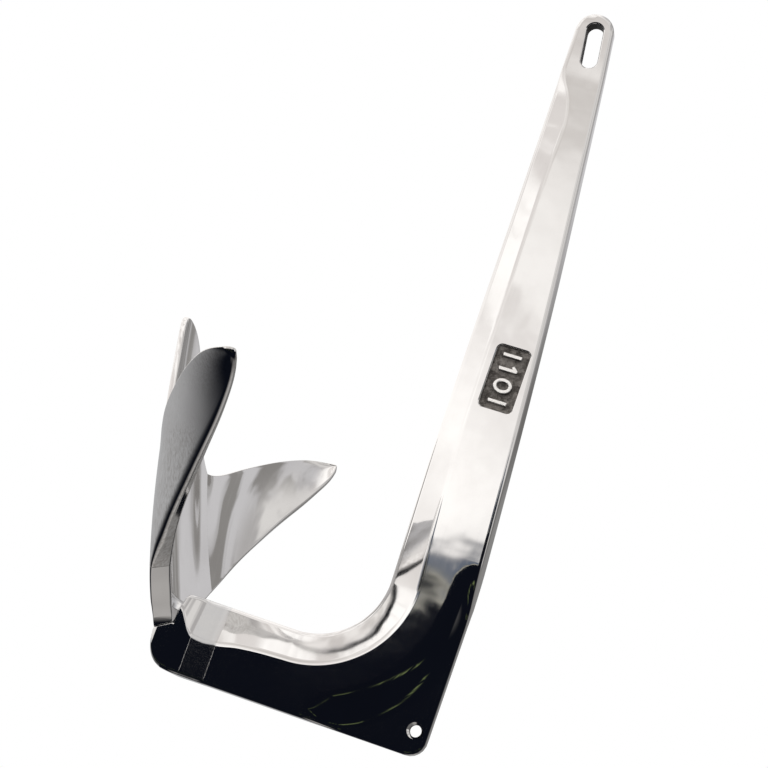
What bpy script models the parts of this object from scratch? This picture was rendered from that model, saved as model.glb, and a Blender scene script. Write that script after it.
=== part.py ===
"""Three-palm claw anchor in polished stainless steel.

Frame, in metres: the origin is the middle of the shackle slot, +Z runs up the
shank, +X points from the claw towards the heel, and y = 0 is the plane of
symmetry.  The anchor is one rigid body: a J-shaped shank welded to a crown,
and a scoop made of three palms.
"""
import math

import bpy
import bmesh
from mathutils import Matrix, Vector

MM = 0.001
GAP = 0.3                      # clearance between neighbouring solids, mm

# ---- shank: inner edge, outer edge and thickness, as (height z, value) in mm
HEAD_CENTRE = (-2.0, 12.0)     # middle of the rounded head, (x, z)
HEAD_RADIUS = 15.0
HEAD_STEPS = 6
HEAD_LAST_TURN = math.radians(84.0)
INNER_X = ((12, -17.0), (-100, -16.0), (-320, -14.0), (-446, -10.0))
OUTER_X = ((12, 13.0), (-24, 17.5), (-103, 26.0), (-200, 36.0), (-300, 44.5), (-380, 50.5), (-446, 55.0))
HALF_THICK = ((12, 6.5), (-25, 6.5), (-60, 7.6), (-140, 9.2), (-280, 11.2), (-380, 12.0), (-446, 12.0))
NOSE_HALF = ((12, 5.8), (-22, 5.8), (-50, 4.4), (-90, 4.0), (-446, 4.0))
BEVEL_WIDE = ((12, 0.8), (-22, 0.8), (-30, 3.0), (-48, 13.0), (-70, 17.0), (-100, 16.0), (-230, 17.0),
              (-330, 18.0), (-385, 20.0), (-446, 23.0))
STRAIGHT_Z = (0, -12, -22, -28, -34, -41, -48, -56, -65, -80, -105, -140, -185, -235, -290, -340, -380, -405,
              -425, -436)
BEND_CENTRE = (-66.0, -446.0)
BEND_RADIUS = 56.0
BEND_BEVEL = 23.0
BEND_HALF = 12.0
BEND_TURNS = (0, 6, 12, 18, 24, 30, 35, 38, 40.5, 43, 45.5, 48, 52, 58, 63, 68, 72, 76, 80, 85, 90)
HEEL_X = 55.0
SOLE_Z = -563.0
HEEL_ROUND = 13.0
FILLET_IN = 52.5               # where the beam starts to fall away, from its inner edge
FILLET_OUT = 65.5              # where it meets the thin heel plate
FILLET_TOP_Z = -415.0          # the fillet grows out of the outer edge below this height
FILLET_GROW = 50.0
FILLET_LAST_TURN = math.radians(77.0)   # and runs out at the sole, round the bend
FILLET_FADE_TURN = math.radians(13.0)
PLATE_HALF = 4.0
EDGE_ROUND = 2.2
NOSE_LOWER = 4.0               # half thickness of the inner edge, below the head
LIMB_X = (-66.0, -84.0, -102.0, -118.0)
LIMB_BEVEL = ((-66, 23.0), (-84, 24.5), (-102, 28.0), (-118, 33.0))
LIMB_TOP = -502.0

# ---- slot, trip hole and recess in the shank
SLOT_RADIUS = 6.5
SLOT_HALF_SPAN = 12.0          # from its middle to the centre of each round end
SLOT_LEAN = math.radians(7.5)
SLOT_STEPS = 12                # faces round each end
TRIP_AT = (44.0, -544.0)
TRIP_RADIUS = 4.6
SINK_RADIUS = 7.2
SINK_DEPTH = 1.6
TRIP_STEPS = 28
RECESS_AT = (22.3, -274.5)
RECESS_SIZE = (26.0, 50.0)
RECESS_ROUND = 4.0
RECESS_STEPS = 4               # faces round each corner
RECESS_FLOOR_Y = -8.3
CUT_BEYOND = 20.0              # how far the cutters reach to either side

# ---- claw: matching points on its two rims, (out from the middle, x, z) in mm
TOP_RIM = ((0, -231, -298), (12, -228.5, -301.5), (24, -223.5, -312), (36, -215, -339), (45, -207, -367),
           (52, -199, -391), (61, -192.5, -403), (75, -191, -402), (92, -187.5, -396), (112, -184, -386.5),
           (134, -176.5, -375), (155, -168, -364), (173, -158, -355), (187, -147, -348.5),
           (193, -131, -345.8))
REAR_RIM = ((0, -155, -532), (11, -154.5, -531), (22, -153.5, -527), (34, -154, -516), (45, -155.5, -506),
            (54, -156, -499), (64, -156, -491.5), (78, -155, -479), (94, -153, -460), (112, -147, -437),
            (130, -140.5, -413), (149, -133, -392), (166, -128, -373), (180, -125, -359.5),
            (190, -126, -348.6))
SEAM_RUNG = 6                  # the rung where the middle palm meets a side palm
RUNG_SPLIT = 2                 # loft sections between two given rungs
RUNG_CELLS = 12                # cells along a rung
BULGE_MIDDLE = 8.0             # how far a rung bows outwards, at the middle and at a tip
BULGE_TIP = 2.0
BULGE_FADE = 0.4               # share of the way out over which the bow settles
BULGE_LEAN = (-0.8, 0.6, -0.3) # which way it bows, out towards the tips on both sides
BULGE_TURN = 60.0              # full lean this far from the middle
THICK_TOP = ((0, 4.5), (61, 4.5), (195, 3.0))            # at the top rim, by distance out
THICK_POWER = 1.3              # how the thickness grows from rim to rim
THICK_REAR = ((0, 13.5), (22, 14.0), (40, 16.0), (64, 16.0), (94, 12.5), (130, 8.5), (166, 5.0), (190, 3.2))

# ---- crown and weld, stations as (x, top z, bottom z, nose half, bevel, half thickness)
WELD_STATIONS = ((-118.3, -502.0, -563.0, 4.0, 33.0, 12.0), (-127.0, -502.0, -563.0, 4.8, 34.5, 14.0),
                 (-136.7, -502.0, -563.0, 6.0, 35.0, 16.5))
CROWN_STATIONS = ((-137.0, -502.0, -563.0, 6.0, 35.0, 16.5), (-141.0, -502.0, -563.0, 7.5, 28.0, 17.8),
                  (-145.0, -502.2, -562.9, 9.5, 20.0, 18.8), (-148.5, -502.6, -562.5, 11.0, 14.0, 19.3),
                  (-151.2, -503.4, -562.0, 12.5, 10.0, 19.6), (-152.0, -533.5, -561.8, 15.0, 4.0, 19.6),
                  (-156.5, -535.8, -558.5, 15.0, 4.0, 19.5), (-160.5, -537.5, -553.5, 14.0, 3.5, 18.5),
                  (-163.0, -538.6, -548.0, 13.0, 2.5, 17.0))

# ---- fillet weld in the throat between crown and centre palm
THROAT_COLUMNS = 3             # columns of the palm's grid to either side of the middle
THROAT_STEPS = 3               # faces along each side of its section
THROAT_FRONT_X = -152.6
THROAT_FOOT = 0.98             # where it starts on the palm, as a share of the way to the rear rim
THROAT_HEAD = 0.88
THROAT_HEAD_SIDE = 0.927
THROAT_FRONT_Z = -509.5
THROAT_DROP = 6.0              # how much lower its front edge is at the sides
THROAT_GAP = 0.4

# ---- raised weight mark, drawn in its own upright frame (across, up) in mm
MARK_TALL = 15.0
MARK_LONG = 40.0
MARK_STROKE = 3.0
MARK_DEEP = 1.9
MARK_ROUND = 0.35
ONE_OUTLINE = ((2.6, 0), (5.6, 0), (5.6, 15), (3.0, 15), (0, 11.4), (1.5, 9.6), (2.6, 10.6))
ZERO_WIDE = 12.0
ZERO_STEPS = 28
WELD_DISTANCE = 0.000001       # metres

SHARP_ANGLE = math.radians(28.0)
STEEL = (0.80, 0.80, 0.79, 1.0)
STEEL_DARK = (0.62, 0.62, 0.61, 1.0)


def start_empty():
    for item in list(bpy.data.objects):
        bpy.data.objects.remove(item, do_unlink=True)


def collection(name):
    group = bpy.data.collections.new(name)
    bpy.context.scene.collection.children.link(group)
    return group


def metal(name, colour, roughness):
    material = bpy.data.materials.new(name)
    material.use_nodes = True
    shader = material.node_tree.nodes["Principled BSDF"]
    shader.inputs["Base Color"].default_value = colour
    shader.inputs["Roughness"].default_value = roughness
    shader.inputs["Metallic"].default_value = 1.0
    return material


def along(table, at):
    """Value at one place of a table of (place, value) pairs, straight in between."""
    pairs = sorted(table)
    at = min(max(at, pairs[0][0]), pairs[-1][0])
    for (low, first), (high, second) in zip(pairs, pairs[1:]):
        if at <= high:
            return first + (second - first) * (at - low) / (high - low)
    return pairs[-1][1]


def ease(value):
    value = min(max(value, 0.0), 1.0)
    return value * value * (3.0 - 2.0 * value)


def blend(first, second, share):
    return first + (second - first) * share


def half_section(width, nose, bevel, half, start, stop, plate):
    """One side of the bar as (distance from the inner edge, half thickness)."""
    points = [(0.0, nose), (bevel, half), (blend(bevel, start, 0.5), half), (start, half)]
    for step in (0.25, 0.5, 0.75):
        points.append((blend(start, stop, step), blend(half, plate, ease(step))))
    points.append((stop, plate))
    points.append((blend(stop, width - EDGE_ROUND, 0.6), plate))
    points.append((width - EDGE_ROUND, plate))
    points.append((width - EDGE_ROUND * 0.3, plate - EDGE_ROUND * 0.3))
    points.append((width, plate - EDGE_ROUND))
    return points


def ring(start, heading, section):
    """A closed section of the bar: the -Y side outwards, then the +Y side back."""
    near = [(start[0] + heading[0] * w, -h, start[1] + heading[1] * w) for w, h in section]
    far = [(x, -y, z) for x, y, z in reversed(near)]
    return near + far


def plain_section(z, width):
    half = along(HALF_THICK, z)
    rim = width - EDGE_ROUND
    bevel = min(along(BEVEL_WIDE, z), 0.3 * width)
    return half_section(width, along(NOSE_HALF, z), bevel, half, rim - 4.0, rim - 0.8, half)


def shank_rings():
    rings = []
    widest = plain_section(HEAD_CENTRE[1], 2.0 * HEAD_RADIUS)
    for step in range(HEAD_STEPS):
        turn = HEAD_LAST_TURN * (1.0 - step / HEAD_STEPS)
        reach = HEAD_RADIUS * math.cos(turn)
        level = HEAD_CENTRE[1] + HEAD_RADIUS * math.sin(turn)
        section = [(w * reach / HEAD_RADIUS, h) for w, h in widest]
        rings.append(ring((HEAD_CENTRE[0] - reach, level), (1.0, 0.0), section))
    for z in STRAIGHT_Z:
        left = along(INNER_X, z)
        width = along(OUTER_X, z) - left
        fade = ease((FILLET_TOP_Z - z) / FILLET_GROW)
        section = plain_section(z, width)
        if fade > 0.0:
            section = heel_section(width, along(BEVEL_WIDE, z), along(HALF_THICK, z), fade)
        rings.append(ring((left, z), (1.0, 0.0), section))
    for degrees in BEND_TURNS:
        turn = math.radians(degrees)
        heading = (math.cos(turn), -math.sin(turn))
        start = (BEND_CENTRE[0] + BEND_RADIUS * heading[0], BEND_CENTRE[1] + BEND_RADIUS * heading[1])
        width = outline_reach(turn) - BEND_RADIUS
        edge_z = BEND_CENTRE[1] - math.tan(min(turn, FILLET_LAST_TURN)) * (HEEL_X - BEND_CENTRE[0])
        above = ease((FILLET_TOP_Z - edge_z) / FILLET_GROW)
        below = ease((FILLET_LAST_TURN - turn) / FILLET_FADE_TURN)
        rings.append(ring(start, heading, heel_section(width, BEND_BEVEL, BEND_HALF, min(above, below))))
    for x in LIMB_X[1:]:
        rings.append(limb_ring(x, LIMB_TOP, SOLE_Z, NOSE_LOWER, along(LIMB_BEVEL, x), BEND_HALF))
    return rings


def outline_reach(turn):
    """Distance from the centre of the bend to the heel outline, with its rounded corner."""
    across, down = math.cos(turn), math.sin(turn)
    right = (HEEL_X - BEND_CENTRE[0]) / max(across, 1e-9)
    sole = (BEND_CENTRE[1] - SOLE_Z) / max(down, 1e-9)
    centre = (HEEL_X - HEEL_ROUND - BEND_CENTRE[0], BEND_CENTRE[1] - SOLE_Z - HEEL_ROUND)
    straight = min(right, sole)
    if straight * across > centre[0] and straight * down > centre[1]:
        middle = across * centre[0] + down * centre[1]
        square = centre[0] ** 2 + centre[1] ** 2 - HEEL_ROUND ** 2
        return middle + math.sqrt(middle * middle - square)
    return straight


def heel_section(width, bevel, half, fade):
    """A section whose side falls away to the heel plate, as far as fade says."""
    rim = width - EDGE_ROUND
    return half_section(width, NOSE_LOWER, bevel, half, blend(rim - 4.0, FILLET_IN, fade),
                        blend(rim - 0.8, min(FILLET_OUT, rim - 0.4), fade), blend(half, PLATE_HALF, fade))


def limb_ring(x, top, bottom, nose, bevel, half):
    width = top - bottom
    rim = width - EDGE_ROUND
    section = half_section(width, nose, bevel, half, blend(bevel, rim, 0.7), blend(bevel, rim, 0.95), half)
    return ring((x, top), (0.0, -1.0), section)


def loft(name, rings, group, material):
    """Skin a row of closed rings and cap both ends."""
    mesh = bmesh.new()
    rows = [[mesh.verts.new(Vector(point) * MM) for point in points] for points in rings]
    count = len(rows[0])
    for first, second in zip(rows, rows[1:]):
        for n in range(count):
            m = (n + 1) % count
            mesh.faces.new((first[n], first[m], second[m], second[n]))
    half = count // 2
    for row in (rows[0], rows[-1]):
        for n in range(half - 1):
            mesh.faces.new((row[n], row[n + 1], row[count - 2 - n], row[count - 1 - n]))
    return finish_mesh(name, mesh, group, material)


def new_object(name, mesh, group):
    """An object made from a working mesh, its normals outward."""
    bmesh.ops.recalc_face_normals(mesh, faces=mesh.faces)
    data = bpy.data.meshes.new(name)
    mesh.to_mesh(data)
    mesh.free()
    item = bpy.data.objects.new(name, data)
    group.objects.link(item)
    return item


def finish_mesh(name, mesh, group, material):
    item = new_object(name, mesh, group)
    item.data.materials.append(material)
    item.data.shade_smooth()
    item.data.set_sharp_from_angle(angle=SHARP_ANGLE)
    return item


def cutter(name, mesh, group):
    item = new_object(name, mesh, group)
    item.hide_render = True
    item.display_type = "WIRE"
    return item


def prism(name, outline, near_y, far_y, group):
    """A straight-sided cutter from an (x, z) outline in mm."""
    mesh = bmesh.new()
    near = [mesh.verts.new(Vector((x, near_y, z)) * MM) for x, z in outline]
    far = [mesh.verts.new(Vector((x, far_y, z)) * MM) for x, z in outline]
    mesh.faces.new(near)
    mesh.faces.new(list(reversed(far)))
    for n in range(len(outline)):
        m = (n + 1) % len(outline)
        mesh.faces.new((near[m], near[n], far[n], far[m]))
    return cutter(name, mesh, group)


def slot_outline():
    points = []
    for end in (1.0, -1.0):
        for step in range(SLOT_STEPS + 1):
            turn = math.pi * step / SLOT_STEPS + (0.0 if end > 0 else math.pi)
            x = SLOT_RADIUS * math.cos(turn)
            z = SLOT_RADIUS * math.sin(turn) + end * SLOT_HALF_SPAN
            points.append((x * math.cos(SLOT_LEAN) - z * math.sin(SLOT_LEAN),
                           x * math.sin(SLOT_LEAN) + z * math.cos(SLOT_LEAN)))
    return points


def recess_outline():
    points = []
    wide = 0.5 * RECESS_SIZE[0] - RECESS_ROUND
    tall = 0.5 * RECESS_SIZE[1] - RECESS_ROUND
    for corner, (sx, sz) in enumerate(((1, 1), (-1, 1), (-1, -1), (1, -1))):
        for step in range(RECESS_STEPS + 1):
            turn = 0.5 * math.pi * (corner + step / RECESS_STEPS)
            points.append((RECESS_AT[0] + sx * wide + RECESS_ROUND * math.cos(turn),
                           RECESS_AT[1] + sz * tall + RECESS_ROUND * math.sin(turn)))
    return points


def trip_cutter(group):
    """Round hole with a shallow countersink on both sides of the heel plate."""
    mouth = 2.0 * SINK_RADIUS - TRIP_RADIUS
    outside = PLATE_HALF + SINK_DEPTH
    inside = PLATE_HALF - SINK_DEPTH
    steps = ((-outside, mouth), (-inside, TRIP_RADIUS), (inside, TRIP_RADIUS), (outside, mouth))
    mesh = bmesh.new()
    rows = []
    for y, radius in steps:
        row = []
        for step in range(TRIP_STEPS):
            turn = 2.0 * math.pi * step / TRIP_STEPS
            point = (TRIP_AT[0] + radius * math.cos(turn), y, TRIP_AT[1] + radius * math.sin(turn))
            row.append(mesh.verts.new(Vector(point) * MM))
        rows.append(row)
    for first, second in zip(rows, rows[1:]):
        for n in range(TRIP_STEPS):
            m = (n + 1) % TRIP_STEPS
            mesh.faces.new((first[n], first[m], second[m], second[n]))
    mesh.faces.new(rows[0])
    mesh.faces.new(rows[-1])
    return cutter("trip_hole_cutter", mesh, group)


def subtract(item, tool):
    change = item.modifiers.new("cut_" + tool.name, "BOOLEAN")
    change.operation = "DIFFERENCE"
    change.solver = "EXACT"
    change.object = tool


def spline(points, split):
    """Catmull-Rom points through the given ones, each span split."""
    out = []
    before = tuple(2 * a - b for a, b in zip(points[0], points[1]))
    after = tuple(2 * a - b for a, b in zip(points[-1], points[-2]))
    padded = [before] + list(points) + [after]
    for n in range(1, len(padded) - 2):
        a, b, c, d = (Vector(p) for p in padded[n - 1:n + 3])
        for step in range(split):
            t = step / split
            out.append(0.5 * ((2 * b) + (c - a) * t + (2 * a - 5 * b + 4 * c - d) * t * t
                              + (3 * b - a - 3 * c + d) * t * t * t))
    out.append(Vector(points[-1]))
    return out


def palm_grids(side, first, last):
    """Hollow face and back face of part of the claw, as rows of points in mm."""
    mirrored_top = [(-y, x, z) for y, x, z in reversed(TOP_RIM[1:])] + list(TOP_RIM)
    mirrored_rear = [(-y, x, z) for y, x, z in reversed(REAR_RIM[1:])] + list(REAR_RIM)
    top = spline([(x, y, z) for y, x, z in mirrored_top], RUNG_SPLIT)
    rear = spline([(x, y, z) for y, x, z in mirrored_rear], RUNG_SPLIT)
    centre = (len(top) - 1) // 2
    rows = []
    for upper, lower in zip(top, rear):
        out = min(abs(upper.y) / TOP_RIM[-1][0], 1.0)
        bow = blend(BULGE_MIDDLE, BULGE_TIP, min(out / BULGE_FADE, 1.0))
        row = []
        for cell in range(RUNG_CELLS + 1):
            t = cell / RUNG_CELLS
            point = upper.lerp(lower, t)
            lean = max(min(point.y / BULGE_TURN, 1.0), -1.0)
            push = Vector((BULGE_LEAN[0], BULGE_LEAN[1] * lean, BULGE_LEAN[2])).normalized()
            row.append(point + push * bow * 4.0 * t * (1.0 - t))
        rows.append(row)
    backs = []
    for n, row in enumerate(rows):
        before = rows[max(n - 1, 0)]
        after = rows[min(n + 1, len(rows) - 1)]
        back = []
        for m, point in enumerate(row):
            up = row[max(m - 1, 0)]
            down = row[min(m + 1, RUNG_CELLS)]
            normal = (after[m] - before[m]).cross(down - up).normalized()
            t = m / RUNG_CELLS
            at_top = along(THICK_TOP, abs(row[0].y))
            at_rear = along(THICK_REAR, abs(row[-1].y))
            back.append(point + normal * blend(at_top, at_rear, t ** THICK_POWER))
        backs.append(back)
    low = centre + first * RUNG_SPLIT
    high = centre + last * RUNG_SPLIT
    if side < 0:
        low, high = centre - last * RUNG_SPLIT, centre - first * RUNG_SPLIT
    return rows[low:high + 1], backs[low:high + 1]


def slab(name, faces_grid, backs_grid, group, material):
    """Closed body between a hollow face and a back face."""
    mesh = bmesh.new()
    front = [[mesh.verts.new(point * MM) for point in row] for row in faces_grid]
    back = [[mesh.verts.new(point * MM) for point in row] for row in backs_grid]
    wide, tall = len(front) - 1, len(front[0]) - 1
    for n in range(wide):
        for m in range(tall):
            mesh.faces.new((front[n][m], front[n + 1][m], front[n + 1][m + 1], front[n][m + 1]))
            mesh.faces.new((back[n][m], back[n][m + 1], back[n + 1][m + 1], back[n + 1][m]))
        mesh.faces.new((front[n][0], back[n][0], back[n + 1][0], front[n + 1][0]))
        mesh.faces.new((front[n][tall], front[n + 1][tall], back[n + 1][tall], back[n][tall]))
    for m in range(tall):
        mesh.faces.new((front[0][m], front[0][m + 1], back[0][m + 1], back[0][m]))
        mesh.faces.new((front[wide][m], back[wide][m], back[wide][m + 1], front[wide][m + 1]))
    return finish_mesh(name, mesh, group, material)


def pull_back(grid, at, towards, by):
    """Move one end row of a grid back by a gap."""
    grid[at] = [point + (other - point).normalized() * by for point, other in zip(grid[at], grid[towards])]


def claw(group, material):
    for name, side, first, last in (("centre_palm", 1, -SEAM_RUNG, SEAM_RUNG),
                                    ("right_palm", 1, SEAM_RUNG, len(TOP_RIM) - 1),
                                    ("left_palm", -1, SEAM_RUNG, len(TOP_RIM) - 1)):
        face, back = palm_grids(side, first, last)
        if name != "left_palm":
            pull_back(face, 0, 1, 0.5 * GAP)
            pull_back(back, 0, 1, 0.5 * GAP)
        if name != "right_palm":
            pull_back(face, -1, -2, 0.5 * GAP)
            pull_back(back, -1, -2, 0.5 * GAP)
        slab(name, face, back, group, material)


def throat_weld(group, material):
    """A wedge of weld between the crown's end and the palm's hollow face, higher in the middle."""
    face = palm_grids(1, -SEAM_RUNG, SEAM_RUNG)[0]
    centre = len(face) // 2
    rings = []
    for column in range(-THROAT_COLUMNS, THROAT_COLUMNS + 1):
        side = (column / THROAT_COLUMNS) ** 2
        row = face[centre + column]
        head = blend(THROAT_HEAD, THROAT_HEAD_SIDE, side)
        left = []
        for step in range(THROAT_STEPS + 1):
            cell = blend(THROAT_FOOT, head, step / THROAT_STEPS) * RUNG_CELLS
            whole = min(int(cell), RUNG_CELLS - 1)
            left.append(row[whole].lerp(row[whole + 1], cell - whole) + Vector((THROAT_GAP, 0.0, 0.0)))
        top = THROAT_FRONT_Z - THROAT_DROP * side
        foot = left[0]
        right = [Vector((THROAT_FRONT_X, foot.y, blend(top, foot.z, step / THROAT_STEPS)))
                 for step in range(THROAT_STEPS + 1)]
        rings.append(left + right)
    loft("throat_weld", rings, group, material)


def oval(half_wide, half_tall, sense):
    """Outline of an oval standing in the zero's place, in either sense of turning."""
    points = []
    for step in range(ZERO_STEPS):
        turn = sense * 2.0 * math.pi * step / ZERO_STEPS
        points.append((0.5 * ZERO_WIDE + half_wide * math.cos(turn),
                       0.5 * MARK_TALL + half_tall * math.sin(turn)))
    return points


def mark_outlines():
    """Outlines of the raised mark, each (name, width, loops), in reading order."""
    bar = ((0, 0), (MARK_STROKE, 0), (MARK_STROKE, MARK_TALL), (0, MARK_TALL))
    outer = oval(0.5 * ZERO_WIDE, 0.5 * MARK_TALL, 1)
    inner = oval(0.5 * ZERO_WIDE - MARK_STROKE, 0.5 * MARK_TALL - MARK_STROKE, -1)
    return (("mark_upper_bar", MARK_STROKE, [bar]), ("mark_1", ONE_OUTLINE[1][0], [ONE_OUTLINE]),
            ("mark_0", ZERO_WIDE, [outer, inner]), ("mark_lower_bar", MARK_STROKE, [bar]))


def weight_mark(group, material):
    """Raised strokes standing on the floor of the recess, read from the top down."""
    strokes = mark_outlines()
    space = (MARK_LONG - sum(width for _, width, _ in strokes)) / (len(strokes) - 1)
    reading = Matrix(((0, 1, 0), (0, 0, -1), (-1, 0, 0))).to_4x4()
    along_z = RECESS_AT[1] + 0.5 * MARK_LONG
    for name, width, loops in strokes:
        curve = bpy.data.curves.new(name, "CURVE")
        curve.dimensions = "2D"
        curve.fill_mode = "BOTH"
        curve.extrude = (0.5 * MARK_DEEP - MARK_ROUND) * MM
        curve.bevel_depth = MARK_ROUND * MM
        curve.offset = -MARK_ROUND * MM
        curve.bevel_resolution = 0
        for loop in loops:
            line = curve.splines.new("POLY")
            line.points.add(len(loop) - 1)
            for point, (x, y) in zip(line.points, loop):
                point.co = (x * MM, (y - 0.5 * MARK_TALL) * MM, 0.0, 1.0)
            line.use_cyclic_u = True
        raw = bpy.data.objects.new(name + "_outline", curve)
        group.objects.link(raw)
        place = Vector((RECESS_AT[0], RECESS_FLOOR_Y - GAP - 0.5 * MARK_DEEP, along_z)) * MM
        raw.matrix_world = Matrix.Translation(place) @ reading
        bpy.context.view_layer.update()
        graph = bpy.context.evaluated_depsgraph_get()
        solid = bpy.data.meshes.new_from_object(raw.evaluated_get(graph))
        solid.transform(raw.matrix_world)
        bpy.data.objects.remove(raw, do_unlink=True)
        mesh = bmesh.new()
        mesh.from_mesh(solid)
        bmesh.ops.remove_doubles(mesh, verts=mesh.verts, dist=WELD_DISTANCE)
        solid.materials.clear()
        finish_mesh(name, mesh, group, material)
        along_z -= width + space


def main():
    start_empty()
    parts = collection("claw_anchor")
    cutters = collection("cutters")
    polished = metal("polished_steel", STEEL, 0.06)
    dressed = metal("dressed_weld", STEEL_DARK, 0.12)
    raised = metal("mark_steel", STEEL, 0.2)

    shank = loft("shank", shank_rings(), parts, polished)
    subtract(shank, prism("slot_cutter", slot_outline(), -CUT_BEYOND, CUT_BEYOND, cutters))
    subtract(shank, trip_cutter(cutters))
    subtract(shank, prism("recess_cutter", recess_outline(), -CUT_BEYOND, RECESS_FLOOR_Y, cutters))
    loft("crown_weld", [limb_ring(*station) for station in WELD_STATIONS], parts, dressed)
    loft("crown", [limb_ring(*station) for station in CROWN_STATIONS], parts, polished)
    claw(parts, polished)
    throat_weld(parts, dressed)
    weight_mark(parts, raised)


main()
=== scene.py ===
import math

import bmesh
import bpy
from mathutils import Matrix, Vector


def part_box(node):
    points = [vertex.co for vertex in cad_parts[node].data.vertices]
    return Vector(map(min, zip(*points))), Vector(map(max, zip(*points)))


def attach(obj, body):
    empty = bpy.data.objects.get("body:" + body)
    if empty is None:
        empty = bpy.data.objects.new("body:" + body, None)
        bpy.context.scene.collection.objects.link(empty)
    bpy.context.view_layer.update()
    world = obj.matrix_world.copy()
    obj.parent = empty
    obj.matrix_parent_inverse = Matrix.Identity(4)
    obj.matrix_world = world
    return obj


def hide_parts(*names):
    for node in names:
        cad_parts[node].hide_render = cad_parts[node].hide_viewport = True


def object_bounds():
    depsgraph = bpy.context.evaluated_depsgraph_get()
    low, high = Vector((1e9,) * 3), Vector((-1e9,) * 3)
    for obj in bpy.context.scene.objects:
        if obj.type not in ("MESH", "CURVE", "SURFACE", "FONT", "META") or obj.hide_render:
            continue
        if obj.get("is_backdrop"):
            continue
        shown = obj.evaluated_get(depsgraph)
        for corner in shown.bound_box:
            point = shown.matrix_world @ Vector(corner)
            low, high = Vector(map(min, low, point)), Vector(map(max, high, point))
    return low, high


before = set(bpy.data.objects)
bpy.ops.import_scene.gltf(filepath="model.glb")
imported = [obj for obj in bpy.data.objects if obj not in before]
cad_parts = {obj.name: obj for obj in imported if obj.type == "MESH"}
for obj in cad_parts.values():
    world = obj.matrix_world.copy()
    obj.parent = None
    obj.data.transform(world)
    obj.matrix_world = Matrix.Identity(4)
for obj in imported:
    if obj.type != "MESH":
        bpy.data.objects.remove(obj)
cad_low, cad_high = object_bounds()

# ---------------------------------------------------------------- camera
# A long lens a little below the middle of the anchor, looking up at it from
# its left-hand side, with the picture tilted so that the shank leans.
CAMERA_TARGET = Vector((-0.0669, 0.0, -0.3035))
CAMERA_AWAY = 1.75
CAMERA_ROUND = math.radians(13.49)
CAMERA_RISE = math.radians(-10.35)
CAMERA_ROLL = math.radians(19.70)
CAMERA_LENS = 107.46

camera = bpy.data.objects.new("camera", bpy.data.cameras.new("camera"))
bpy.context.scene.collection.objects.link(camera)
bpy.context.scene.camera = camera
camera.data.sensor_width = 36.0
camera.data.lens = CAMERA_LENS
camera_turn = (Matrix.Rotation(CAMERA_ROUND, 4, "Z") @ Matrix.Rotation(0.5 * math.pi - CAMERA_RISE, 4, "X")
               @ Matrix.Rotation(CAMERA_ROLL, 4, "Z"))
camera.matrix_world = (Matrix.Translation(CAMERA_TARGET) @ camera_turn
                       @ Matrix.Translation((0.0, 0.0, CAMERA_AWAY)))

# ---------------------------------------------------------------- studio
# A pale round of floor under a soft white tent, lit by one softbox.  The tent
# is open low down, and polished steel mirrors the dark room beyond it.
FLOOR_DROP = 0.20              # floor below the lowest point of the anchor
FLOOR_RADIUS = 2.6
FLOOR_PALE = (0.86, 0.86, 0.85, 1.0)
FLOOR_WORN = (0.82, 0.82, 0.82, 1.0)
BACKGROUND_WHITE = (1.0, 1.0, 1.0, 1.0)
TENT_WHITE = (1.22, 1.19, 1.16, 1.0)
TENT_SHADE = (0.84, 0.80, 0.775, 1.0)
TENT_BEIGE = (0.62, 0.585, 0.555, 1.0)
FAR_WHITE = (0.78, 0.76, 0.74, 1.0)
FAR_SHADE = (0.47, 0.455, 0.45, 1.0)
BACK_WHITE = (0.62, 0.61, 0.62, 1.0)
BACK_SHADE = (0.28, 0.27, 0.26, 1.0)
BACK_LOW = (0.17, 0.165, 0.16, 1.0)
WALL_GREY = (0.44, 0.44, 0.445, 1.0)
PATH_PALE = (0.46, 0.445, 0.43, 1.0)
PATH_GREY = (0.24, 0.235, 0.23, 1.0)
ROOM_DARK = (0.004, 0.005, 0.009, 1.0)
ROOM_NAVY = (0.020, 0.025, 0.042, 1.0)
ROOM_BLUE = (0.13, 0.155, 0.205, 1.0)
ROOM_CREAM = (0.60, 0.57, 0.47, 1.0)
GRASS_GREEN = (0.20, 0.25, 0.10, 1.0)
TENT_OPENING = 10.1            # height of the tent's lower edge over the horizon, in degrees
TENT_RAGGED = 5.0              # how far folds lift and drop that edge
SOFTBOX_PLACE = (-0.5, -0.9, 1.5)
SOFTBOX_SIZE = (1.0, 0.7)
SOFTBOX_POWER = 9.0


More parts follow.
